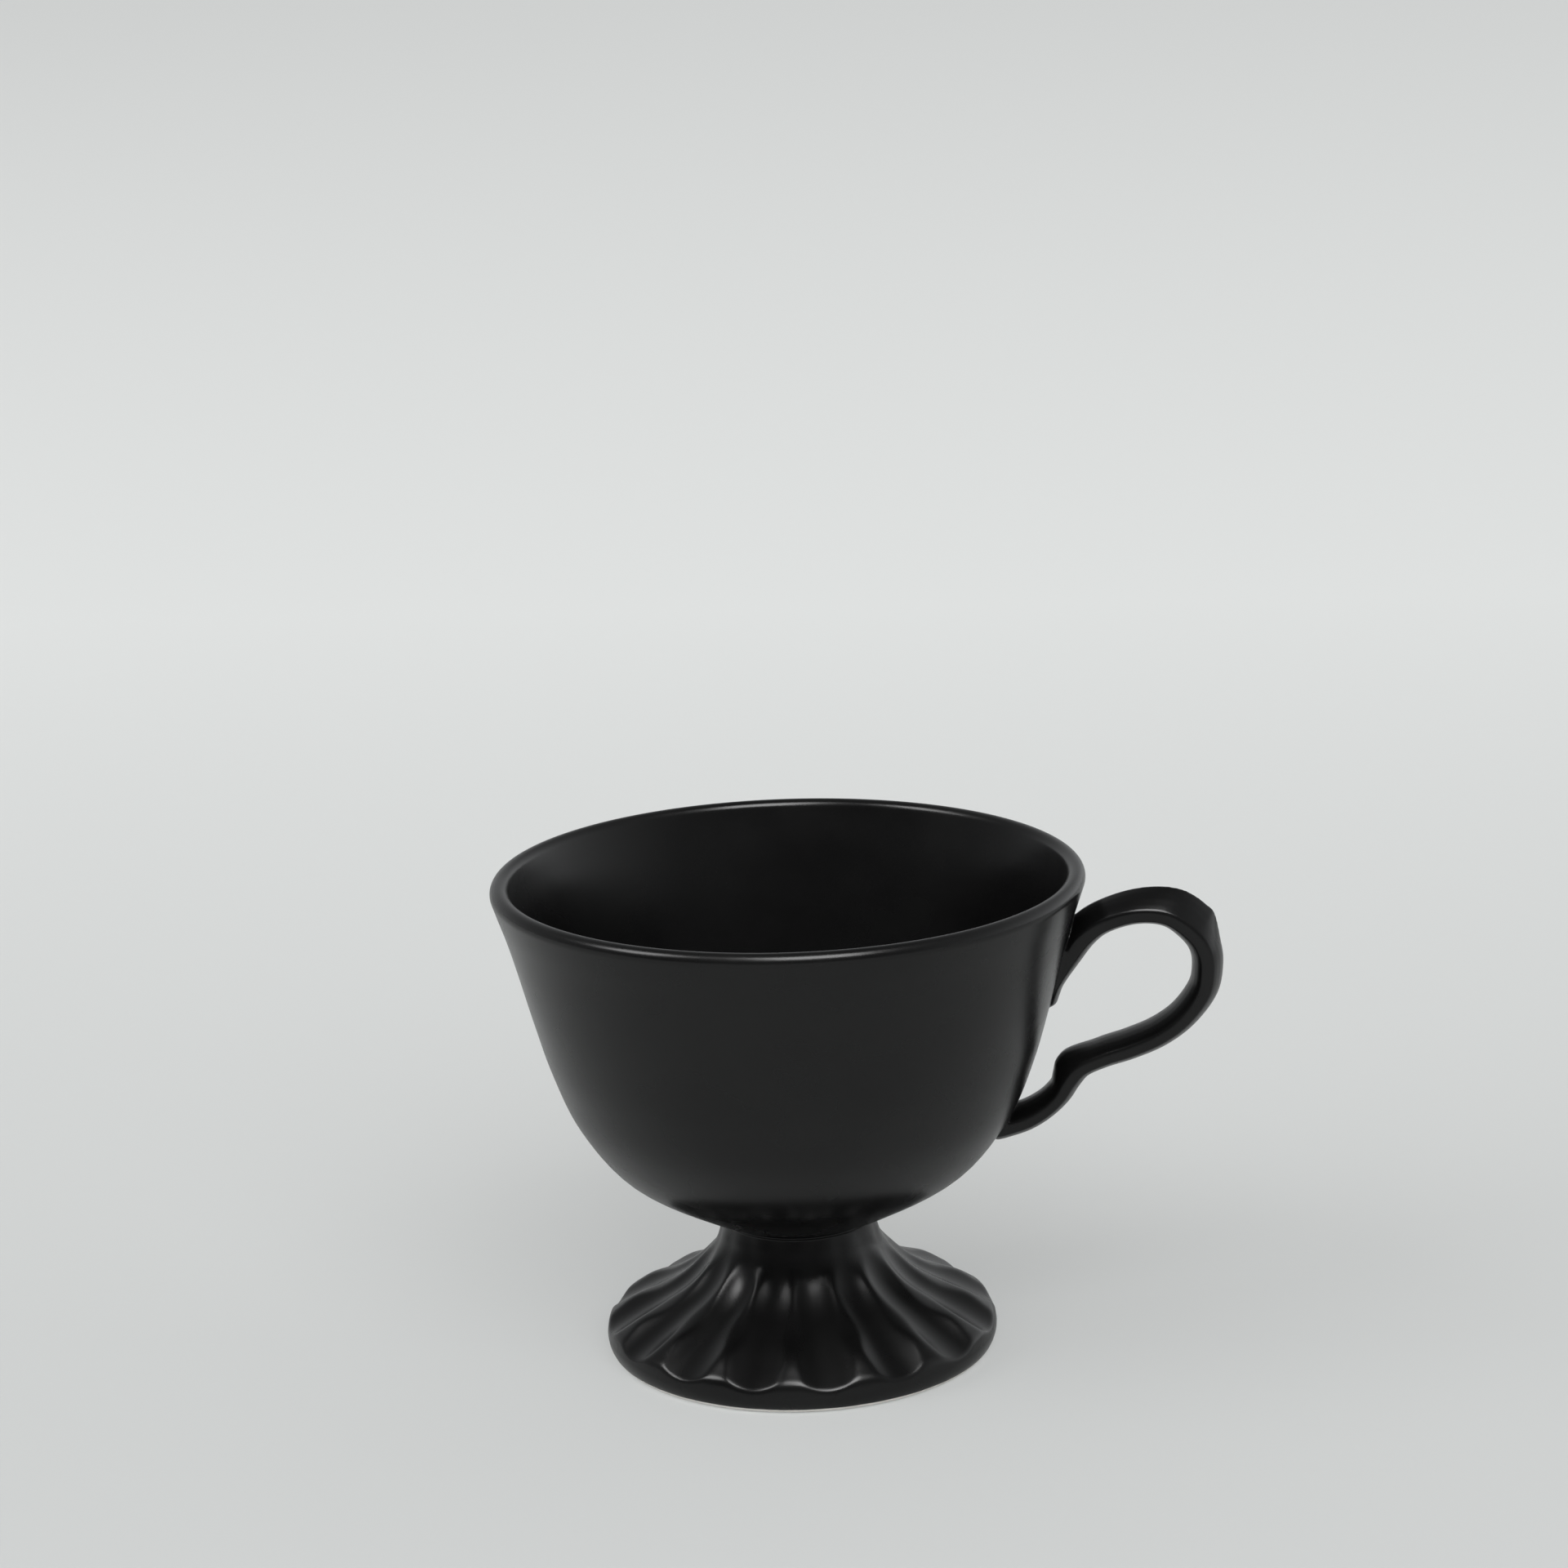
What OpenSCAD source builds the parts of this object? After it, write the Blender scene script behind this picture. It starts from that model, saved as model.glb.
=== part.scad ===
// Footed cup with a flared bowl, a fluted pedestal foot and a scrolled strap handle.
// The origin is on the table under the middle of the foot, +Z is up and the handle points along +X.

/* [Bowl] */
// Outside diameter of the bowl across its lip
rim_d = 95; // [85:1:110]
// Height of the bowl from the middle of its underside to the top of its lip
bowl_h = 59.7; // [54:0.1:68]
// Thickness of the bowl's wall and lip
bowl_wall = 3; // [2.2:0.1:4]
// Thickness of the bowl's floor in the middle
bowl_floor = 4.2; // [3.4:0.1:6]

/* [Foot] */
// Height of the foot in its middle, from the table to the seam under the bowl
foot_h = 19.9; // [17:0.1:26]
// Widest diameter of the foot
foot_d = 64; // [58:0.2:72]
// Outside diameter of the edge that the foot stands on
base_d = 60.4; // [55:0.2:68]
// Width of the flat edge that the foot stands on
base_edge_w = 2.8; // [2:0.1:4]
// Diameter of the foot's neck at the seam under the bowl
neck_d = 24.6; // [23:0.2:32]
// Thickness of the foot's wall
foot_wall = 3.2; // [2.4:0.1:4]

/* [Flutes] */
// Number of flutes round the foot
flute_count = 16; // [12:1:20]
// Depth of a flute half way down the skirt
flute_depth = 0.75; // [0.65:0.05:1]
// Depth of a flute's hollow where it runs out over the edge
flute_end_depth = 1.1; // [0.9:0.05:1.6]
// Height above the table at which a flute runs out
flute_end_h = 3.8; // [3.3:0.1:4.6]
// Width of the plain land between two flutes, at the widest of the foot
land_w = 3; // [2.4:0.1:4.8]
// Angle from the handle's middle plane to the middle of the next flute
flute_turn = 11.25; // [0:0.25:22]

/* [Handle] */
// Distance from the bowl's wall to the middle of the strap, where the loop is widest
handle_out = 24.6; // [20:0.1:30]
// Height from the middle of the lower root to the middle of the strap on top of the loop
handle_h = 35.7; // [30:0.1:38]
// Distance from the top of the lip down to the middle of the strap on top of the loop
handle_drop = 6.9; // [6:0.1:9]
// Width of the strap
handle_w = 9.5; // [7:0.1:12]
// Thickness of the strap
handle_t = 4.4; // [3.4:0.1:5.6]
// How far the thumb rest rises above the strap
thumb_rise = 1.3; // [0.4:0.1:2]
// How far the knuckle above the lower root swells into the loop
knuckle_rise = 1.6; // [0.4:0.1:2.2]

/* [Seams] */
// Thickness of the clay slip that joins two pieces
slip_t = 0.4; // [0.3:0.05:0.7]
// How far the slip shows beyond the piece that it holds
slip_bead = 0.35; // [0.2:0.05:0.6]

/* [Hidden] */
glaze = [0.16, 0.16, 0.165];
slip_colour = [0.3, 0.3, 0.3];
round_fn = 96;
rim_r = rim_d / 2;
foot_r = foot_d / 2;
base_r = base_d / 2;
neck_r = neck_d / 2;
lip_r = bowl_wall / 2;
bowl_z = foot_h + slip_t;
cup_h = bowl_z + bowl_h;
// The lip's rounding rises a little as the wall leans out, by this share of its radius
lip_lean = 0.308;
lip_z = cup_h - lip_r * (1 + lip_lean);
overrun = foot_wall;
// Points between two outline points, and steps round the lip and the dome
smooth_steps = 4;
skirt_steps = 3;
arc_steps = 6;
quarter = 90;

// A smooth curve through points, as a cubic with the slope of its neighbours
function between(a, b, c, d, t) =
    0.5 * (2 * b + (c - a) * t + (2 * a - 5 * b + 4 * c - d) * pow(t, 2)
    + (3 * b - a - 3 * c + d) * pow(t, 3));
function smooth(pts, steps) = [
    for (i = [0:len(pts) - 2]) for (k = [0:steps - 1])
        between(pts[max(i - 1, 0)], pts[i], pts[i + 1], pts[min(i + 2, len(pts) - 1)], k / steps),
    pts[len(pts) - 1]
];
// Unit direction along a curve at point i, and the unit normal on its right
function along(pts, i) = unit(pts[min(i + 1, len(pts) - 1)] - pts[max(i - 1, 0)]);
function unit(v) = v / norm(v);
function right_of(v) = [v.y, -v.x];

// Bowl: the outside runs from the middle of the underside to the lip.
// Each pair is a share of the rim's radius and a share of the height up to the lip's rounding.
bowl_shares = [
    [0, 0], [0.13, 0.008], [0.257, 0.034], [0.398, 0.088], [0.61, 0.198], [0.746, 0.345],
    [0.822, 0.494], [0.875, 0.642], [0.922, 0.79], [0.954, 0.885], [0.982, 0.955], [1, 1]
];
bowl_out = smooth([for (s = bowl_shares) [s.x * rim_r, bowl_z + s.y * (lip_z - bowl_z)]], smooth_steps);
bowl_last = len(bowl_out) - 1;
// The wall thickens towards the floor in the middle
function bowl_thick(p) = bowl_wall + (bowl_floor - bowl_wall) * pow(1 - min(p.x / rim_r, 1), 2);
function bowl_in(i) =
    i == 0 ? [0, bowl_z + bowl_floor]
    : bowl_out[i] - bowl_thick(bowl_out[i]) * right_of(along(bowl_out, i));
lip_side = right_of(along(bowl_out, bowl_last));
lip_centre = bowl_out[bowl_last] - lip_r * lip_side;
lip_tilt = atan2(lip_side.y, lip_side.x);
lip_arc = [for (k = [1:2 * arc_steps - 1])
    lip_centre + lip_r * [cos(lip_tilt + k * quarter / arc_steps), sin(lip_tilt + k * quarter / arc_steps)]];
bowl_outline = concat(bowl_out, lip_arc, [for (i = [bowl_last:-1:0]) bowl_in(i)]);
// Outside radius of the bowl at a height, and height of its underside at a radius
function wall_r(z) = lookup(z, [for (p = bowl_out) [p.y, p.x]]);
function underside_z(r) = lookup(r, [for (p = bowl_out) [p.x, p.y]]);

module bowl() {
    color(glaze) rotate_extrude($fn = round_fn) polygon(bowl_outline);
}

// Foot: the outside runs from the seam down the trumpet, over the shoulder and round the edge.
// Each pair is a share of the way from the neck's radius to the widest one, and of the seam's height.
seam_z = underside_z(neck_r) - slip_t;
foot_shares = [
    [0, 1], [0.028, 0.915], [0.074, 0.8], [0.193, 0.677], [0.345, 0.549], [0.545, 0.439],
    [0.763, 0.361], [0.904, 0.28], [0.978, 0.222], [1, 0.135]
];
foot_skirt = smooth([for (s = foot_shares) [neck_r + s.x * (foot_r - neck_r), s.y * seam_z]], skirt_steps);
foot_edge_z = foot_skirt[len(foot_skirt) - 1].y;
foot_edge = [for (k = [1:arc_steps]) let (turn = k * quarter / arc_steps)
    [base_r + (foot_r - base_r) * cos(turn), foot_edge_z * (1 - sin(turn))]];
// The top follows the bowl's underside, one slip layer lower
foot_top = [for (p = bowl_out) if (p.x < neck_r) [p.x, p.y - slip_t]];
hollow_r = base_r - base_edge_w;
hollow_top = foot_h - foot_wall;
hollow_side = [for (i = [len(foot_skirt) - 1:-1:0])
    let (p = foot_skirt[i] + foot_wall * right_of(along(foot_skirt, i)))
    if (p.x < hollow_r && p.y > foot_wall / 2 && p.y < hollow_top - foot_wall) p];
hollow_shoulder = hollow_side[len(hollow_side) - 1];
hollow_dome = [for (k = [1:arc_steps])
    [hollow_shoulder.x * cos(k * quarter / arc_steps),
    hollow_shoulder.y + (hollow_top - hollow_shoulder.y) * sin(k * quarter / arc_steps)]];
foot_outline = concat(foot_top, foot_skirt, foot_edge, [[hollow_r, 0]], hollow_side, hollow_dome);

// Flutes: the bottom of each one is an arc from the neck to half way down the skirt,
// and then a straight line that runs out over the edge. It widens on the way like a fan.
fade_place = 6;
half_place = 13;
flute_in = foot_skirt[fade_place];
flute_half = foot_skirt[half_place] + flute_depth * right_of(along(foot_skirt, half_place));
flute_end = [foot_r, flute_end_h];
flute_run = unit(flute_end - flute_half);
flute_up = [-flute_run.y, flute_run.x];
function square(v) = v * v;
function angle_of(v) = atan2(v.y, v.x);
arc_r = square(norm(flute_in - flute_half)) / (2 * (flute_in - flute_half) * flute_up);
arc_centre = flute_half + arc_r * flute_up;
arc_start = angle_of(flute_in - arc_centre);
arc_turn = angle_of(-flute_up) - arc_start;
// The arc starts a little before the skirt, out in the open
arc_lead = 5;
// Radius of a round hollow that has a given depth between two lands
function hollow_r_at(r, depth) =
    let (half = r / foot_r * (PI * foot_r / flute_count - land_w / 2))
    (square(half) + square(depth)) / (2 * depth);
half_r = hollow_r_at(foot_skirt[half_place].x, flute_depth);
end_r = hollow_r_at(foot_r, flute_end_depth);
run_length = norm(flute_end - flute_half) + overrun;
fan_angle = asin((end_r - half_r) / norm(flute_end - flute_half));
fan_axis = cos(fan_angle) * flute_run + sin(fan_angle) * flute_up;
fan_start = flute_half + half_r * (cos(fan_angle) * flute_up - sin(fan_angle) * flute_run);

module flute_tool() {
    translate([arc_centre.x, 0, arc_centre.y]) rotate([quarter, 0, 0]) rotate(arc_start - arc_lead)
        rotate_extrude(angle = arc_turn + arc_lead, $fn = round_fn) translate([arc_r - half_r, 0])
            circle(r = half_r, $fn = round_fn / 2);
    translate([fan_start.x, 0, fan_start.y]) rotate([0, quarter - angle_of(fan_axis), 0])
        cylinder(h = run_length * cos(fan_angle), r1 = half_r, r2 = half_r + run_length * sin(fan_angle),
            $fn = round_fn);
}

module pedestal_foot() {
    color(glaze) difference() {
        rotate_extrude($fn = round_fn) polygon(foot_outline);
        for (i = [0:flute_count - 1])
            rotate(flute_turn + i * 360 / flute_count) flute_tool();
    }
}

// Handle: a strap swept along its middle line in the plane y = 0.
// Each row is a share of handle_out from the wall, a share of handle_h above the lower root,
// and shares of the strap's width and thickness.
handle_shares = [
    [-0.034, 0.551, 0.42, 0.45], [-0.034, 0.574, 0.62, 0.86], [-0.032, 0.62, 0.76, 0.93],
    [-0.022, 0.681, 0.86, 0.95], [0.026, 0.8, 0.95, 1.12], [0.093, 0.897, 1, 1.14],
    [0.201, 0.96, 1, 1.06], [0.394, 0.998, 1, 1.02], [0.609, 0.982, 1, 1.02], [0.812, 0.896, 1, 1.07],
    [0.919, 0.81, 1, 1.09], [0.965, 0.717, 1, 1.07], [0.97, 0.616, 1, 1.05], [0.891, 0.499, 1, 1],
    [0.765, 0.417, 1, 1], [0.603, 0.361, 1, 1], [0.447, 0.322, 1, 0.98], [0.325, 0.275, 1, 0.95],
    [0.278, 0.21, 1, 0.93], [0.259, 0.148, 1, 0.91], [0.225, 0.095, 1, 0.91], [0.176, 0.053, 1, 0.95],
    [0.113, 0.022, 1, 1], [0.002, -0.006, 1, 1.05], [-0.121, -0.025, 1, 1.05]
];
// Rings of the sweep between two rows
sweep_steps = 3;
low_root_z = cup_h - handle_drop - handle_h;
handle_rows = smooth([for (s = handle_shares)
    let (z = low_root_z + s[1] * handle_h)
    [wall_r(z) + s[0] * handle_out, z, s[2] * handle_w / 2, s[3] * handle_t / 2]], sweep_steps);
thumb_row = 26.5;
thumb_rows = 4;
knuckle_row = 52.5;
knuckle_rows = 4;
// A quarter of the strap's section, from the ridge beside its flat edge to the crown,
// in shares of half the width and half the thickness
section_shares = [[1, 0], [0.985, 0.45], [0.8, 0.66], [0.55, 0.84], [0.28, 0.96], [0, 1]];
half_section = concat(section_shares, [for (i = [len(section_shares) - 2:-1:1])
    [-section_shares[i].x, section_shares[i].y]]);
section = concat(half_section, -half_section);
section_steps = len(section);
function peak(i, middle, reach) = pow(max(0, 1 - abs(i - middle) / reach), 1.5);
function place(row) = [row[0], row[1]];
function handle_dir(i) =
    unit(place(handle_rows[min(i + 1, len(handle_rows) - 1)]) - place(handle_rows[max(i - 1, 0)]));
function section_point(i, k) =
    let (row = handle_rows[i], side = section[k].x, up = section[k].y,
        outside = right_of(handle_dir(i)) * -1,
        swell = up > 0 ? thumb_rise * peak(i, thumb_row, thumb_rows) * (1 - abs(side))
            : -knuckle_rise * peak(i, knuckle_row, knuckle_rows) * (1 - pow(side, 2)),
        lift = up * row[3] + swell)
    [row[0] + outside.x * lift, side * row[2], row[1] + outside.y * lift];
handle_last = len(handle_rows) - 1;
handle_points = [for (i = [0:handle_last]) for (k = [0:section_steps - 1]) section_point(i, k)];
function at(i, k) = i * section_steps + k % section_steps;
handle_faces = concat(
    [for (i = [1:handle_last]) for (k = [1:section_steps]) [at(i - 1, k), at(i, k), at(i, k + 1)]],
    [for (i = [1:handle_last]) for (k = [1:section_steps]) [at(i - 1, k), at(i, k + 1), at(i - 1, k + 1)]],
    [for (k = [1:section_steps - 2]) [at(0, 0), at(0, k), at(0, k + 1)]],
    [for (k = [1:section_steps - 2]) [at(handle_last, 0), at(handle_last, k + 1), at(handle_last, k)]]
);

// Solid of revolution with the bowl's outside, grown by a gap
module bowl_body(gap) {
    rotate_extrude($fn = round_fn)
        polygon(concat([[0, bowl_z - gap]],
            [for (i = [1:bowl_last]) bowl_out[i] + gap * right_of(along(bowl_out, i))], [[0, cup_h]]));
}

module handle() {
    color(glaze) difference() {
        polyhedron(handle_points, handle_faces);
        bowl_body(slip_t);
    }
}

// Foot seam: the slip between the foot's top and the bowl, with a bead round its edge
module foot_seam() {
    seam_r = neck_r + slip_bead;
    top = concat([for (p = bowl_out) if (p.x < seam_r) p], [[seam_r, underside_z(seam_r)]]);
    color(slip_colour) rotate_extrude($fn = round_fn)
        polygon(concat(top, [for (i = [len(top) - 1:-1:0]) top[i] - [0, slip_t]]));
}

// Handle seams: the slip between each root and the wall, cut to the root's outline.
// Each row is the lowest and the highest place as shares of handle_h, and how much the low end narrows.
upper_seam_shares = [0.56, 0.96, 0.5];
lower_seam_shares = [-0.12, 0.08, 0];
module handle_seam(shares) {
    low = low_root_z + shares[0] * handle_h;
    high = low_root_z + shares[1] * handle_h;
    half_w = handle_w / 2 + slip_bead;
    outline = [for (k = [0:4 * arc_steps - 1])
        let (a = k * quarter / arc_steps, v = sin(a))
        [(low + high) / 2 + v * (high - low) / 2, half_w * cos(a) * (1 - shares[2] * (1 - v) / 2)]];
    color(slip_colour) intersection() {
        difference() {
            bowl_body(slip_t);
            bowl_body(0);
        }
        rotate([0, quarter, 0]) mirror([1, 0, 0]) linear_extrude(rim_r + overrun) polygon(outline);
    }
}

module upper_handle_seam() {
    handle_seam(upper_seam_shares);
}

module lower_handle_seam() {
    handle_seam(lower_seam_shares);
}

bowl();
pedestal_foot();
handle();
foot_seam();
upper_handle_seam();
lower_handle_seam();
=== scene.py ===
import math
import bpy
from mathutils import Matrix, Vector


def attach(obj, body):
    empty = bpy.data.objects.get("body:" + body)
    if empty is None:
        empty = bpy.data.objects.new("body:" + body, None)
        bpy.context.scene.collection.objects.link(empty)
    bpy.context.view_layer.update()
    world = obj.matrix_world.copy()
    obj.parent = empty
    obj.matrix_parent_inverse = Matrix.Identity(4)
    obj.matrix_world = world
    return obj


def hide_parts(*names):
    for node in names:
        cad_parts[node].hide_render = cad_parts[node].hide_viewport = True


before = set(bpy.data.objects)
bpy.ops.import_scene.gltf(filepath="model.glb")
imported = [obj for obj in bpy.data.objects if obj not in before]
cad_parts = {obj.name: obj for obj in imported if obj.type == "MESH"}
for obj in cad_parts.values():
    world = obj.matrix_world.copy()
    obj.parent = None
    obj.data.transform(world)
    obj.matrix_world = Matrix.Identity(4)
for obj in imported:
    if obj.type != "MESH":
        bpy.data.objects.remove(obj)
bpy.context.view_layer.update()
MM = 0.001

# Sizes of the cup in millimetres, as in the part's source, apart from slightly shallower flutes
# and a slightly thicker strap with a fuller thumb rest, a fuller inside and a thinner upper root
RIM_R, WALL, FLOOR, LIP_R, LIP_LEAN = 47.5, 3.0, 4.2, 1.5, 0.308
FOOT_H, SLIP, BOWL_H = 19.9, 0.4, 59.7
FOOT_R, BASE_R, EDGE_W, NECK_R, FOOT_WALL = 32.0, 30.2, 2.8, 12.3, 3.2
FLUTES, LAND_W, FLUTE_TURN = 16, 3.0, 11.25
FLUTE_DEPTH, FLUTE_END_DEPTH, FLUTE_END_H = 0.65, 1.1, 3.8
HANDLE_OUT, HANDLE_H, HANDLE_DROP, HANDLE_W, HANDLE_T = 24.6, 35.7, 6.9, 9.5, 4.7
THUMB_RISE, KNUCKLE_RISE = 2.5, 1.6
EDGE_SOFT, BEAD_R = 0.16, 0.3
# Heights and half turn, in radians, of the strap's roots, and how far they lie under the bowl's outside
UPPER_ROOT, LOWER_ROOT, ROOT_SINK = (55.5, 75, 0.16), (30.5, 44, 0.2), 0.1
SKIN_VOXEL, SKIN_PASSES = 0.24, 8
BOWL_Z = FOOT_H + SLIP
CUP_H = BOWL_Z + BOWL_H
LIP_Z = CUP_H - LIP_R * (1 + LIP_LEAN)

BOWL_SHARES = [(0, 0), (.13, .008), (.257, .034), (.398, .088), (.61, .198), (.746, .345),
               (.822, .494), (.875, .642), (.922, .79), (.954, .885), (.982, .955), (1, 1)]
FOOT_SHARES = [(0, 1), (.028, .915), (.074, .8), (.193, .677), (.345, .549), (.545, .439),
               (.763, .361), (.904, .28), (.978, .222), (1, .135)]
HANDLE_SHARES = [
    (-.034, .551, .42, .4), (-.034, .574, .62, .78), (-.032, .62, .76, .84), (-.022, .681, .86, .88),
    (.026, .8, .95, 1.12), (.093, .897, 1, 1.14), (.201, .96, 1, 1.06), (.394, .998, 1, 1.02),
    (.609, .982, 1, 1.02), (.812, .896, 1, 1.07), (.919, .81, 1, 1.09), (.965, .717, 1, 1.07),
    (.97, .616, 1, 1.05), (.891, .499, 1, 1), (.765, .417, 1, 1), (.603, .361, 1, 1), (.447, .322, 1, .98),
    (.325, .275, 1, .95), (.278, .21, 1, .93), (.259, .148, 1, .91), (.225, .095, 1, .91),
    (.176, .053, 1, .95), (.113, .022, 1, 1), (.002, -.006, 1, 1.05), (-.045, -.014, 1, 1.05)]
SECTION_SHARES = [(1, 0), (.985, .45), (.8, .66), (.55, .84), (.28, .96), (0, 1)]
INSIDE_SHARES = [(1, 0), (.985, .3), (.8, .53), (.55, .76), (.28, .92), (0, 1)]
# Rings of the strap at the thumb rest and the knuckle, how many rings a swelling takes on each side,
# how many the thumb rest takes on the arch, and the share of its height at which it is blunt
THUMB_RING, KNUCKLE_RING, SWELL_RINGS, RUN_IN_RINGS, BLUNT = 53, 105, 8, 24, 0.72
# Steps of the outlines between two shares, of the round parts, and of the turned shapes
BOWL_STEPS, SKIRT_STEPS, STRAP_STEPS = 6, 8, 6
LIP_STEPS, CORNER_STEPS, ROOT_STEPS = 24, 8, 12
BOWL_TURNS, FLUTE_TURNS, ROOT_TURNS = 240, 24, 16
# The part's skirt has three rows to a share; a flute starts and is half way down at these rows
SHARE_ROWS, START_ROW, HALF_ROW = 3, 5, 13
MERGE = 2e-6

# The camera fitted to the photograph: degrees, metres and pixels
CAMERA_TURN, CAMERA_PITCH, CAMERA_ROLL = 4.05, 14.11, -1.95
CAMERA_BACK, CAMERA_UP, FOCAL_PIXELS, PHOTO_PIXELS, SENSOR_MM = 0.5977, 0.2445, 4747, 1920, 36

# Colours of the finishes, and the heights in metres between which the glaze ends on the foot
GLAZE_THIN, GLAZE_THICK = (0.0030, 0.0030, 0.0031, 1), (0.0046, 0.0046, 0.0046, 1)
PINHOLE, CLAY_DARK, CLAY_PALE = (0.16, 0.155, 0.15, 1), (0.66, 0.64, 0.6, 1), (0.82, 0.8, 0.77, 1)
BARE_LOW, BARE_HIGH = 0.0006, 0.00074
TABLE, TABLE_NEAR, TABLE_FAR = (0.63, 0.645, 0.64, 1), (0.65, 0.665, 0.66, 1), (0.98, 1.0, 0.99, 1)
BACKDROP, MIRRORED, EVEN_SHARE = (0.66, 0.675, 0.67, 1), (0.97, 0.99, 1.0, 1), 0.45
# Lamps: name, turn to the right of the camera, height angle, size, power, and whether the glaze mirrors them
LAMPS = [("window_front", 12, 43, (3.1, 3.0), 93, False), ("window_side", -68, 38, (2.4, 2.5), 47, False),
         ("shade_front", 13, 62, (1.9, 2.2), 190, True), ("shade_side", -77, 50, (1.4, 1.6), 80, True)]
LAMP_DISTANCE, LAMP_AIM = 4.0, (0, 0, 0.02)


# Outlines

def smooth_line(points, steps):
    """Points of a smooth curve through the given ones."""
    pts, line = [Vector(p) for p in points], []
    for i in range(len(pts) - 1):
        a, b, c, d = pts[max(i - 1, 0)], pts[i], pts[i + 1], pts[min(i + 2, len(pts) - 1)]
        for k in range(steps):
            t = k / steps
            line.append(0.5 * (2 * b + (c - a) * t + (2 * a - 5 * b + 4 * c - d) * t ** 2
                               + (3 * b - a - 3 * c + d) * t ** 3))
    return line + [pts[-1]]


def heading(line, i):
    """Unit direction of an outline at point i."""
    a, b = line[max(i - 1, 0)], line[min(i + 1, len(line) - 1)]
    return Vector((b[0] - a[0], b[1] - a[1])).normalized()


def beside(line, i, gap):
    """Point i moved by gap to the right of the outline's direction."""
    d = heading(line, i)
    return Vector((line[i][0] + gap * d.y, line[i][1] - gap * d.x))


def read_line(line, value, key, out):
    """Linear reading of one coordinate of an outline at a value of the other one."""
    for a, b in zip(line, line[1:]):
        low, high = sorted((a[key], b[key]))
        if low <= value <= high and a[key] != b[key]:
            return a[out] + (b[out] - a[out]) * (value - a[key]) / (b[key] - a[key])
    return line[-1][out] if value > line[-1][key] else line[0][out]


BOWL_OUT = smooth_line([(r * RIM_R, BOWL_Z + z * (LIP_Z - BOWL_Z)) for r, z in BOWL_SHARES],
                       BOWL_STEPS)
SEAM_Z = read_line(BOWL_OUT, NECK_R, 0, 1) - SLIP
SKIRT = smooth_line([(NECK_R + r * (FOOT_R - NECK_R), z * SEAM_Z) for r, z in FOOT_SHARES],
                    SKIRT_STEPS)


def wall_r(z):
    """Radius of the bowl's outside at a height."""
    return read_line(BOWL_OUT, z, 1, 0)


# Modelling steps

def start_piece():
    """Deselects everything, so that the next primitive is alone."""
    if bpy.context.object and bpy.context.object.mode != "OBJECT":
        bpy.ops.object.mode_set(mode="OBJECT")
    bpy.ops.object.select_all(action="DESELECT")


def name_piece(name):
    """Names the primitive that was just added."""
    piece = bpy.context.object
    piece.name = piece.data.name = name
    return piece


def draw_outline(name, outline, closed):
    """One point extruded along an outline in the XZ plane, as with the E key."""
    start_piece()
    bpy.ops.mesh.primitive_plane_add(size=MM)
    piece = name_piece(name)
    bpy.ops.object.mode_set(mode="EDIT")
    bpy.ops.mesh.select_mode(type="VERT")
    bpy.ops.mesh.select_all(action="SELECT")
    bpy.ops.mesh.merge(type="CENTER")
    bpy.ops.transform.translate(value=(outline[0][0] * MM, 0, outline[0][1] * MM))
    for a, b in zip(outline, outline[1:]):
        step = ((b[0] - a[0]) * MM, 0, (b[1] - a[1]) * MM)
        bpy.ops.mesh.extrude_region_move(TRANSFORM_OT_translate={"value": step})
    bpy.ops.mesh.select_all(action="SELECT")
    if closed:
        bpy.ops.mesh.remove_doubles(threshold=MERGE)
    return piece


def spin_round(steps):
    """Turns the selected outline about the cup's middle line and closes it."""
    bpy.ops.mesh.select_all(action="SELECT")
    bpy.ops.mesh.spin(steps=steps, angle=2 * math.pi, center=(0, 0, 0), axis=(0, 0, 1))
    bpy.ops.mesh.select_all(action="SELECT")
    bpy.ops.mesh.remove_doubles(threshold=MERGE)
    leave_edit()


def leave_edit():
    """Turns the faces outwards and goes back to object mode."""
    bpy.ops.mesh.select_all(action="SELECT")
    bpy.ops.mesh.normals_make_consistent(inside=False)
    bpy.ops.object.mode_set(mode="OBJECT")


def apply_modifier(piece, kind, **settings):
    """Adds a modifier with its settings and applies it."""
    bpy.context.view_layer.objects.active = piece
    mod = piece.modifiers.new(kind.lower(), kind)
    for key, value in settings.items():
        setattr(mod, key, value)
    bpy.ops.object.modifier_apply(modifier=mod.name)


def smooth_faces(piece):
    """Shades one piece smooth."""
    start_piece()
    piece.select_set(True)
    bpy.context.view_layer.objects.active = piece
    bpy.ops.object.shade_smooth()


# Bowl

def make_bowl():
    """Outside, rolled lip and inside in one outline, thrown as on the wheel."""
    last = len(BOWL_OUT) - 1
    inner = [Vector((0, BOWL_Z + FLOOR))]
    for i in range(1, last + 1):
        share = max(1 - BOWL_OUT[i][0] / RIM_R, 0)
        inner.append(beside(BOWL_OUT, i, -(WALL + (FLOOR - WALL) * share ** 2)))
    side = beside(BOWL_OUT, last, 1) - BOWL_OUT[last]
    centre = BOWL_OUT[last] - LIP_R * side
    tilt = math.atan2(side.y, side.x)
    lip = []
    for k in range(1, LIP_STEPS):
        turn = tilt + math.pi * k / LIP_STEPS
        lip.append(centre + LIP_R * Vector((math.cos(turn), math.sin(turn))))
    bowl = draw_outline("cup_bowl", BOWL_OUT + lip + inner[::-1], False)
    spin_round(BOWL_TURNS)
    smooth_faces(bowl)
    return bowl


# Foot

def skirt_point(share_row, depth=0.0):
    """A place on the skirt, counted in the part's rows, and moved into the clay."""
    return beside(SKIRT, round(share_row * SKIRT_STEPS / SHARE_ROWS), depth)


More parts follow.
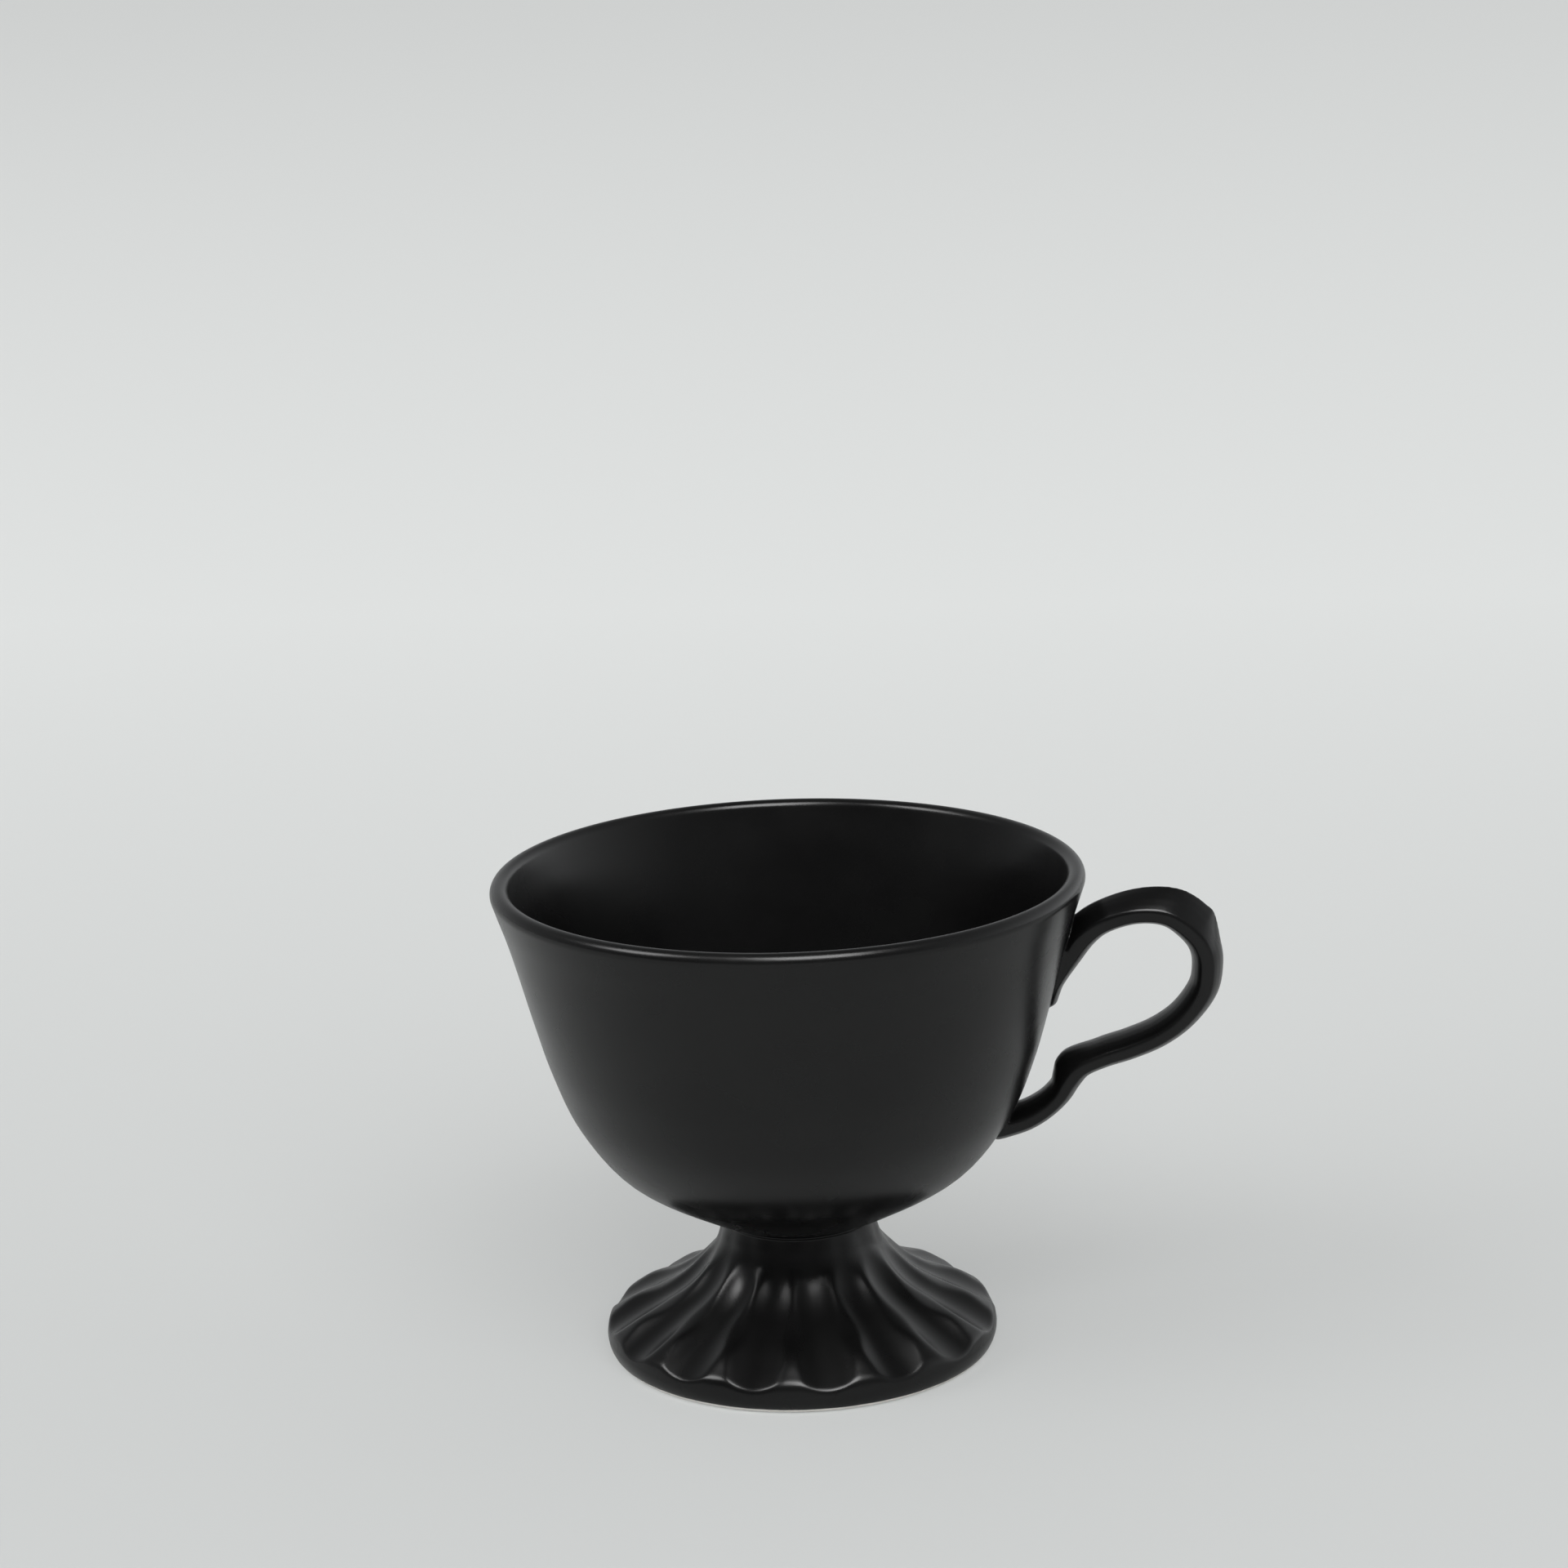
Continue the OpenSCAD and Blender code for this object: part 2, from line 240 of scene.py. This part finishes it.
class Flute:
    """The round hollow that a flute is cut with: an arc from the neck, then a straight fan."""

    def __init__(self):
        start, self.half = skirt_point(START_ROW), skirt_point(HALF_ROW, FLUTE_DEPTH)
        self.run = Vector((FOOT_R, FLUTE_END_H)) - self.half
        length = self.run.length
        self.run.normalize()
        self.up = Vector((-self.run.y, self.run.x))
        self.reach = (start - self.half).length_squared / (2 * (start - self.half).dot(self.up))
        self.centre = self.half + self.reach * self.up
        self.half_r = self.hollow_r(skirt_point(HALF_ROW).x, FLUTE_DEPTH)
        self.spread = (self.hollow_r(FOOT_R, FLUTE_END_DEPTH) - self.half_r) / length

    def hollow_r(self, r, depth):
        """Radius of the hollow that leaves the land and has the depth at a distance from the middle."""
        half = r / FOOT_R * (math.pi * FOOT_R / FLUTES - LAND_W / 2)
        return (half ** 2 + depth ** 2) / (2 * depth)

    def gap(self, x, y, z):
        """Distance out of the hollow, below zero inside it."""
        flat = Vector((x, z))
        along = (flat - self.half).dot(self.run)
        if along < 0:
            around = (flat - self.centre).length - (self.reach - self.half_r)
            return math.hypot(around, y) - self.half_r
        tool_r = self.half_r + along * self.spread
        height = (flat - self.half).dot(self.up) - tool_r
        return (math.hypot(height, y) - tool_r) * math.cos(math.asin(self.spread))

    def depth(self, point, normal):
        """How far a point of the skirt goes in along its normal to leave the hollow.
        The edge of the flute is softened, as glaze softens it."""
        gap = self.gap(*point)
        too_far, deepest, halvings = 6 * EDGE_SOFT, 4.0, 22
        if gap > too_far:
            return 0.0
        low, high = 0.0, deepest
        for _ in range(halvings):
            mid = (low + high) / 2
            inside = self.gap(*(p + n * mid for p, n in zip(point, normal))) < 0
            low, high = (mid, high) if inside else (low, mid)
        raw = low if gap < 0 else -gap
        return EDGE_SOFT * math.log1p(math.exp(raw / EDGE_SOFT))


def make_foot():
    """The foot with the bead of slip that was squeezed out under the bowl."""
    edge_z = SKIRT[-1][1]
    outline = [Vector((r, z)) for r, z in BOWL_OUT if r < NECK_R]
    bead = Vector((NECK_R, read_line(BOWL_OUT, NECK_R + BEAD_R, 0, 1) - BEAD_R))
    # The bead goes from its top to a little under its side
    for k in range(9):
        turn = math.pi / 2 * (1 - k / 6)
        outline.append(bead + BEAD_R * Vector((math.cos(turn), math.sin(turn))))
    outline += [p for p in SKIRT if p.y < outline[-1].y - BEAD_R / 2]
    corner = [math.pi / 2 * k / CORNER_STEPS for k in range(1, CORNER_STEPS + 1)]
    for turn in corner:
        r = BASE_R + (FOOT_R - BASE_R) * math.cos(turn)
        outline.append(Vector((r, edge_z * (1 - math.sin(turn)))))
    hollow_r = BASE_R - EDGE_W
    outline.append(Vector((hollow_r, 0)))
    under = [beside(SKIRT, i, FOOT_WALL) for i in range(len(SKIRT) - 1, -1, -2)]
    under = [p for p in under
             if p.x < hollow_r and FOOT_WALL / 2 < p.y < FOOT_H - 2 * FOOT_WALL]
    outline += under
    top, shoulder = FOOT_H - FOOT_WALL, under[-1]
    for turn in corner:
        z = shoulder.y + (top - shoulder.y) * math.sin(turn)
        outline.append(Vector((shoulder.x * math.cos(turn), z)))
    foot = draw_outline("cup_foot", outline, False)
    spin_round(FLUTE_TURNS * FLUTES)
    # The flutes are weighed onto the skirt and pressed in with a displace modifier
    flute = Flute()
    group = foot.vertex_groups.new(name="flutes")
    press, on_skirt, pitch = 2 * FLUTE_END_DEPTH, 0.05, 360 / FLUTES
    depths = {}
    rows = {round(p.y, 2): i for i, p in enumerate(SKIRT)}
    for vert in foot.data.vertices:
        x, y, z = (c / MM for c in vert.co)
        r, near = math.hypot(x, y), rows.get(round(z, 2))
        if near is None or abs(SKIRT[near].x - r) > on_skirt:
            continue
        turn = (math.degrees(math.atan2(y, x)) - FLUTE_TURN) % pitch
        turn = min(turn, pitch - turn)
        key = (near, round(turn, 2))
        if key not in depths:
            d = heading(SKIRT, near)
            c, s = math.cos(math.radians(turn)), math.sin(math.radians(turn))
            depths[key] = flute.depth((r * c, r * s, z), (d.y * c, d.y * s, -d.x))
        if depths[key] > 0:
            group.add([vert.index], min(depths[key] / press, 1), "REPLACE")
    apply_modifier(foot, "DISPLACE", vertex_group="flutes", mid_level=0, strength=-press * MM)
    smooth_faces(foot)
    return foot


# Handle

def handle_stations():
    """Middle line of the strap, with half its width and half its thickness."""
    low = CUP_H - HANDLE_DROP - HANDLE_H
    line = []
    for out, up, wide, thick in HANDLE_SHARES:
        z = low + up * HANDLE_H
        line.append((wall_r(z) + out * HANDLE_OUT, z, wide * HANDLE_W / 2, thick * HANDLE_T / 2))
    return smooth_line(line, STRAP_STEPS)


def strap_section():
    """The strap's section, with narrow edges and a crown on both faces."""
    outside = SECTION_SHARES + [(-side, up) for side, up in SECTION_SHARES[-2::-1]]
    inside = INSIDE_SHARES[1:] + [(-side, up) for side, up in INSIDE_SHARES[-2:0:-1]]
    return outside + [(-side, -up) for side, up in inside]


def make_strap():
    """The section pulled along the middle line, ring by ring."""
    line, section = handle_stations(), strap_section()
    start_piece()
    bpy.ops.mesh.primitive_circle_add(vertices=len(section), radius=1, fill_type="NGON")
    strap = name_piece("cup_handle")
    for vert in strap.data.vertices:
        turn = math.atan2(vert.co.x, vert.co.y) / (2 * math.pi)
        side, up = section[round(turn * len(section)) % len(section)]
        vert.co.x = up * line[0][3] * MM
        vert.co.y = side * line[0][2] * MM
    # The section lies flat with its thickness along X; it turns about Y to face along the line
    turns = [math.atan2(heading(line, i).x, heading(line, i).y) for i in range(len(line))]
    for i in range(1, len(turns)):
        while turns[i] - turns[i - 1] > math.pi:
            turns[i] -= 2 * math.pi
        while turns[i] - turns[i - 1] < -math.pi:
            turns[i] += 2 * math.pi
    place = Vector((line[0][0], 0, line[0][1])) * MM
    strap.data.transform(Matrix.Translation(place) @ Matrix.Rotation(turns[0], 4, "Y"))
    bpy.ops.object.mode_set(mode="EDIT")
    bpy.ops.mesh.select_mode(type="FACE")
    bpy.ops.mesh.select_all(action="SELECT")
    for i in range(1, len(line)):
        here = Vector((line[i][0], 0, line[i][1])) * MM
        bpy.ops.mesh.extrude_region_move(TRANSFORM_OT_translate={"value": here - place})
        bpy.ops.transform.rotate(value=turns[i - 1] - turns[i], orient_axis="Y", center_override=here)
        wide, thick = line[i][2] / line[i - 1][2], line[i][3] / line[i - 1][3]
        bpy.ops.transform.resize(value=(thick, wide, thick), center_override=here)
        place = here
    leave_edit()
    return strap


def root_patch(name, low, high, half_turn):
    """A curved plate just under the bowl's outside, which the strap melts into."""
    levels = [low + (high - low) * k / ROOT_STEPS for k in range(ROOT_STEPS + 1)]
    outside = [Vector((wall_r(z) - ROOT_SINK, z)) for z in levels]
    inside = [Vector((wall_r(z) - WALL / 2, z)) for z in levels[::-1]]
    patch = draw_outline(name, outside + inside + outside[:1], True)
    bpy.ops.mesh.edge_face_add()
    bpy.ops.mesh.select_all(action="SELECT")
    bpy.ops.transform.rotate(value=-half_turn, orient_axis="Z", center_override=(0, 0, 0))
    bpy.ops.mesh.spin(steps=ROOT_TURNS, angle=2 * half_turn, center=(0, 0, 0), axis=(0, 0, 1))
    leave_edit()
    return patch


def swell_strap(strap):
    """Pulls the thumb rest out of the arch and the knuckle out of the bend above the stem."""
    line, per_ring = handle_stations(), len(strap_section())
    for vert in strap.data.vertices:
        ring = min(vert.index // per_ring, len(line) - 1)
        d = heading(line, ring)
        outer = Vector((-d.y, d.x))
        flat = Vector((vert.co.x / MM, vert.co.z / MM)) - Vector(line[ring][:2])
        up = flat.dot(outer)
        side = min(abs(vert.co.y / MM) / line[ring][2], 1)
        reach = RUN_IN_RINGS if ring < THUMB_RING else SWELL_RINGS
        thumb = min(max(0, 1 - abs(ring - THUMB_RING) / reach) ** 2, BLUNT)
        thumb *= THUMB_RISE * (1 - side) ** 1.3
        knuckle = min(max(0, 1 - abs(ring - KNUCKLE_RING) / SWELL_RINGS) ** 1.5, BLUNT)
        knuckle *= KNUCKLE_RISE * (1 - side ** 2)
        lift = thumb if up > 0 else -knuckle
        vert.co.x += outer.x * lift * MM
        vert.co.z += outer.y * lift * MM


def make_handle():
    """The strap and its two roots, melted into one skin as the glaze does."""
    strap = make_strap()
    swell_strap(strap)
    pieces = [strap, root_patch("upper_root", *UPPER_ROOT), root_patch("lower_root", *LOWER_ROOT)]
    start_piece()
    for piece in pieces:
        piece.select_set(True)
    bpy.context.view_layer.objects.active = strap
    bpy.ops.object.join()
    apply_modifier(strap, "REMESH", mode="VOXEL", voxel_size=SKIN_VOXEL * MM)
    apply_modifier(strap, "SMOOTH", factor=0.5, iterations=SKIN_PASSES)
    smooth_faces(strap)
    return strap


# Finishes

def effect_group(name, inputs, outputs):
    """An empty shader node group with named sockets."""
    group = bpy.data.node_groups.new(name, "ShaderNodeTree")
    for label, kind, value in inputs:
        socket = group.interface.new_socket(label, in_out="INPUT", socket_type=kind)
        if value is not None:
            socket.default_value = value
    for label, kind in outputs:
        group.interface.new_socket(label, in_out="OUTPUT", socket_type=kind)
    return group, group.nodes.new("NodeGroupInput"), group.nodes.new("NodeGroupOutput")


def add_node(tree, kind, links=None, **values):
    """One node with its settings and sockets filled in."""
    node = tree.nodes.new(kind)
    for key, value in values.items():
        if key.startswith("in_"):
            label = key[3:]
            node.inputs[int(label) if label.isdigit() else label].default_value = value
        else:
            setattr(node, key, value)
    for label, source in (links or {}).items():
        tree.links.new(source, node.inputs[label])
    return node


def add_range(tree, value, before, after=(0.0, 1.0)):
    """Maps a value from one range to another."""
    node = add_node(tree, "ShaderNodeMapRange", {"Value": value})
    for label, number in zip(("From Min", "From Max", "To Min", "To Max"), before + after):
        node.inputs[label].default_value = number
    return node.outputs[0]


def add_math(tree, operation, first, second):
    """One sum of a socket with another socket or a number."""
    if isinstance(second, float):
        return add_node(tree, "ShaderNodeMath", {0: first}, operation=operation, in_1=second).outputs[0]
    return add_node(tree, "ShaderNodeMath", {0: first, 1: second}, operation=operation).outputs[0]


def make_glaze_flow():
    """Slow changes of thickness that a dipped and fired glaze shows."""
    group, ends_in, ends_out = effect_group(
        "glaze flow", [("Vector", "NodeSocketVector", None), ("Size", "NodeSocketFloat", 60.0)],
        [("Thickness", "NodeSocketFloat"), ("Height", "NodeSocketFloat")])
    slow = add_node(group, "ShaderNodeTexNoise",
                    {"Vector": ends_in.outputs["Vector"], "Scale": ends_in.outputs["Size"]},
                    in_Detail=3.0, in_Roughness=0.55)
    fine = add_node(group, "ShaderNodeTexNoise", {"Vector": ends_in.outputs["Vector"]},
                    in_Scale=900.0, in_Detail=2.0, in_Roughness=0.5)
    group.links.new(slow.outputs[0], ends_out.inputs["Thickness"])
    height = add_math(group, "ADD", slow.outputs[0], add_math(group, "MULTIPLY", fine.outputs[0], 0.25))
    group.links.new(height, ends_out.inputs["Height"])
    return group


def make_pinholes():
    """Sparse pinholes, where gas left the glaze in the kiln."""
    group, ends_in, ends_out = effect_group(
        "glaze pinholes", [("Vector", "NodeSocketVector", None), ("Cells", "NodeSocketFloat", 220.0),
                           ("Share", "NodeSocketFloat", 0.03)],
        [("Hole", "NodeSocketFloat")])
    cells = add_node(group, "ShaderNodeTexVoronoi",
                     {"Vector": ends_in.outputs["Vector"], "Scale": ends_in.outputs["Cells"]})
    pick = add_node(group, "ShaderNodeSeparateColor", {0: cells.outputs["Color"]})
    few = add_math(group, "LESS_THAN", pick.outputs[0], ends_in.outputs["Share"])
    dot = add_range(group, cells.outputs["Distance"], (0.035, 0.07), (1.0, 0.0))
    group.links.new(add_math(group, "MULTIPLY", few, dot), ends_out.inputs["Hole"])
    return group


def satin_glaze(name, flow, pinholes, share, bare_edge=False):
    """Black satin glaze; on the foot it ends in a wiped edge of bare clay."""
    mat = bpy.data.materials.new(name)
    mat.use_nodes = True
    tree = mat.node_tree
    shader = tree.nodes["Principled BSDF"]
    shader.inputs["Specular IOR Level"].default_value = 0.27
    place = add_node(tree, "ShaderNodeTexCoord").outputs["Object"]
    glaze = add_node(tree, "ShaderNodeGroup", node_tree=flow)
    tree.links.new(place, glaze.inputs["Vector"])
    holes = add_node(tree, "ShaderNodeGroup", node_tree=pinholes)
    tree.links.new(place, holes.inputs["Vector"])
    holes.inputs["Share"].default_value = share
    tone = add_node(tree, "ShaderNodeValToRGB", {0: glaze.outputs["Thickness"]})
    tone.color_ramp.elements[0].position, tone.color_ramp.elements[1].position = 0.3, 0.7
    tone.color_ramp.elements[0].color, tone.color_ramp.elements[1].color = GLAZE_THIN, GLAZE_THICK
    spot = add_node(tree, "ShaderNodeMix", {0: holes.outputs["Hole"], 6: tone.outputs[0]},
                    data_type="RGBA", in_7=PINHOLE)
    relief = add_math(tree, "SUBTRACT", glaze.outputs["Height"], holes.outputs["Hole"])
    bump = add_node(tree, "ShaderNodeBump", {"Height": relief}, in_Strength=0.06, in_Distance=0.0004)
    colour = spot.outputs[2]
    rough = add_range(tree, glaze.outputs["Thickness"], (0.3, 0.7), (0.24, 0.3))
    if bare_edge:
        parts = add_node(tree, "ShaderNodeSeparateXYZ", {0: place})
        ragged = add_node(tree, "ShaderNodeTexNoise", {"Vector": place}, in_Scale=300.0)
        shift = add_math(tree, "MULTIPLY", ragged.outputs[0], 0.0002)
        level = add_math(tree, "SUBTRACT", parts.outputs["Z"], shift)
        bare = add_range(tree, level, (BARE_LOW, BARE_HIGH), (1.0, 0.0))
        grain = add_node(tree, "ShaderNodeTexNoise", {"Vector": place}, in_Scale=1500.0, in_Detail=4.0)
        clay = add_node(tree, "ShaderNodeMix", {0: grain.outputs[0]}, data_type="RGBA",
                        in_6=CLAY_DARK, in_7=CLAY_PALE)
        colour = add_node(tree, "ShaderNodeMix", {0: bare, 6: colour, 7: clay.outputs[2]},
                          data_type="RGBA").outputs[2]
        rough = add_node(tree, "ShaderNodeMix", {0: bare, 2: rough}, in_3=0.85).outputs[0]
    tree.links.new(colour, shader.inputs["Base Color"])
    tree.links.new(rough, shader.inputs["Roughness"])
    tree.links.new(bump.outputs[0], shader.inputs["Normal"])
    return mat


def dress(piece, mat):
    """Gives a piece its one material."""
    piece.data.materials.clear()
    piece.data.materials.append(mat)


# Studio

def plain_floor():
    """A pale table. A share of the tone that the camera sees is even, so the shadows stay soft."""
    start_piece()
    bpy.ops.mesh.primitive_plane_add(size=24, location=(0, 0, -0.00002))
    floor = name_piece("studio_floor")
    mat = bpy.data.materials.new("pale table")
    mat.use_nodes = True
    tree = mat.node_tree
    shader = tree.nodes["Principled BSDF"]
    shader.inputs["Base Color"].default_value = TABLE
    shader.inputs["Roughness"].default_value = 0.8
    place = add_node(tree, "ShaderNodeTexCoord").outputs["Object"]
    parts = add_node(tree, "ShaderNodeSeparateXYZ", {0: place})
    depth = add_range(tree, parts.outputs["Y"], (0.0, 0.6))
    tone = add_node(tree, "ShaderNodeMix", {0: depth}, data_type="RGBA", in_6=TABLE_NEAR, in_7=TABLE_FAR)
    even = add_node(tree, "ShaderNodeEmission", {"Color": tone.outputs[2]})
    ray = add_node(tree, "ShaderNodeLightPath").outputs["Is Camera Ray"]
    share = add_math(tree, "MULTIPLY", ray, EVEN_SHARE)
    seen = add_node(tree, "ShaderNodeMixShader", {0: share, 1: shader.outputs[0], 2: even.outputs[0]})
    tree.links.new(seen.outputs[0], tree.nodes["Material Output"].inputs["Surface"])
    dress(floor, mat)


def studio_world():
    """Even pale light, and a backdrop in the table's tone for the camera.
    What the glaze mirrors is darker overhead and in front."""
    world = bpy.data.worlds.new("studio")
    bpy.context.scene.world = world
    world.use_nodes = True
    tree = world.node_tree
    tree.nodes.clear()
    out = add_node(tree, "ShaderNodeOutputWorld")
    even = add_node(tree, "ShaderNodeBackground", in_Color=(1.0, 1.0, 1.0, 1), in_Strength=0.45)
    place = add_node(tree, "ShaderNodeTexCoord").outputs["Generated"]
    parts = add_node(tree, "ShaderNodeSeparateXYZ", {0: place})
    back = add_range(tree, parts.outputs["Y"], (-0.6, 0.7), (0.12, 0.55))
    high = add_range(tree, parts.outputs["Z"], (0.1, 0.9), (1.0, 0.3))
    right = add_range(tree, parts.outputs["X"], (0.2, 0.9), (1.0, 3.0))
    seen = add_math(tree, "MULTIPLY", add_math(tree, "MULTIPLY", back, high), right)
    mirror = add_node(tree, "ShaderNodeBackground", {"Strength": seen}, in_Color=MIRRORED)
    backdrop = add_node(tree, "ShaderNodeBackground", in_Color=BACKDROP, in_Strength=1.0)
    ray = add_node(tree, "ShaderNodeLightPath")
    mix = add_node(tree, "ShaderNodeMixShader", {0: ray.outputs["Is Glossy Ray"], 1: even.outputs[0],
                                                 2: mirror.outputs[0]})
    mix = add_node(tree, "ShaderNodeMixShader", {0: ray.outputs["Is Camera Ray"], 1: mix.outputs[0],
                                                 2: backdrop.outputs[0]})
    tree.links.new(mix.outputs[0], out.inputs["Surface"])


def soft_lamp(name, turn, height, size, power, mirrored):
    """An area lamp that either lights the cup or is seen in its glaze."""
    turn, height = math.radians(turn - 90 + CAMERA_TURN), math.radians(height)
    ahead = Vector((math.cos(height) * math.cos(turn), math.cos(height) * math.sin(turn), math.sin(height)))
    place = LAMP_DISTANCE * ahead
    start_piece()
    bpy.ops.object.light_add(type="AREA", location=place)
    lamp = bpy.context.object
    lamp.name = lamp.data.name = name
    lamp.data.shape = "RECTANGLE"
    lamp.data.size, lamp.data.size_y = size
    lamp.data.energy = power
    lamp.rotation_euler = (Vector(LAMP_AIM) - place).to_track_quat("-Z", "Y").to_euler()
    lamp.visible_camera = False
    lamp.visible_glossy = mirrored
    lamp.visible_diffuse = not mirrored


def photo_camera():
    """The camera fitted to the photograph, turned so that the handle lies along +X."""
    turn, pitch, roll = (math.radians(v) for v in (CAMERA_TURN, CAMERA_PITCH, CAMERA_ROLL))
    ahead = Vector((0, math.cos(pitch), -math.sin(pitch)))
    right = Vector((1, 0, 0))
    up = right.cross(ahead)
    side = math.cos(roll) * right + math.sin(roll) * up
    top = -math.sin(roll) * right + math.cos(roll) * up
    basis = Matrix((side, top, -ahead)).transposed().to_4x4()
    spin = Matrix.Rotation(turn, 4, "Z")
    start_piece()
    bpy.ops.object.camera_add()
    cam = bpy.context.object
    cam.name = cam.data.name = "photo_camera"
    cam.matrix_world = spin @ Matrix.Translation((0, -CAMERA_BACK, CAMERA_UP)) @ basis
    cam.data.sensor_fit, cam.data.sensor_width = "HORIZONTAL", SENSOR_MM
    cam.data.lens = SENSOR_MM * FOCAL_PIXELS / PHOTO_PIXELS
    cam.data.clip_start, cam.data.clip_end = 0.01, 50
    bpy.context.scene.camera = cam


# The cup in its studio

photo_camera()
flow, pinholes = make_glaze_flow(), make_pinholes()
glaze = satin_glaze("black satin glaze", flow, pinholes, 0.02)
foot_glaze = satin_glaze("black satin glaze over bare edge", flow, pinholes, 0.03, bare_edge=True)
for build, nodes, mat in (
        (make_bowl, ["bowl"], glaze),
        (make_foot, ["pedestal_foot", "foot_seam"], foot_glaze),
        (make_handle, ["handle", "upper_handle_seam", "lower_handle_seam"], glaze)):
    piece = build()
    dress(piece, mat)
    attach(piece, "root")
    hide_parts(*nodes)
plain_floor()
studio_world()
for lamp_values in LAMPS:
    soft_lamp(*lamp_values)
bpy.context.scene.view_settings.view_transform = "Standard"
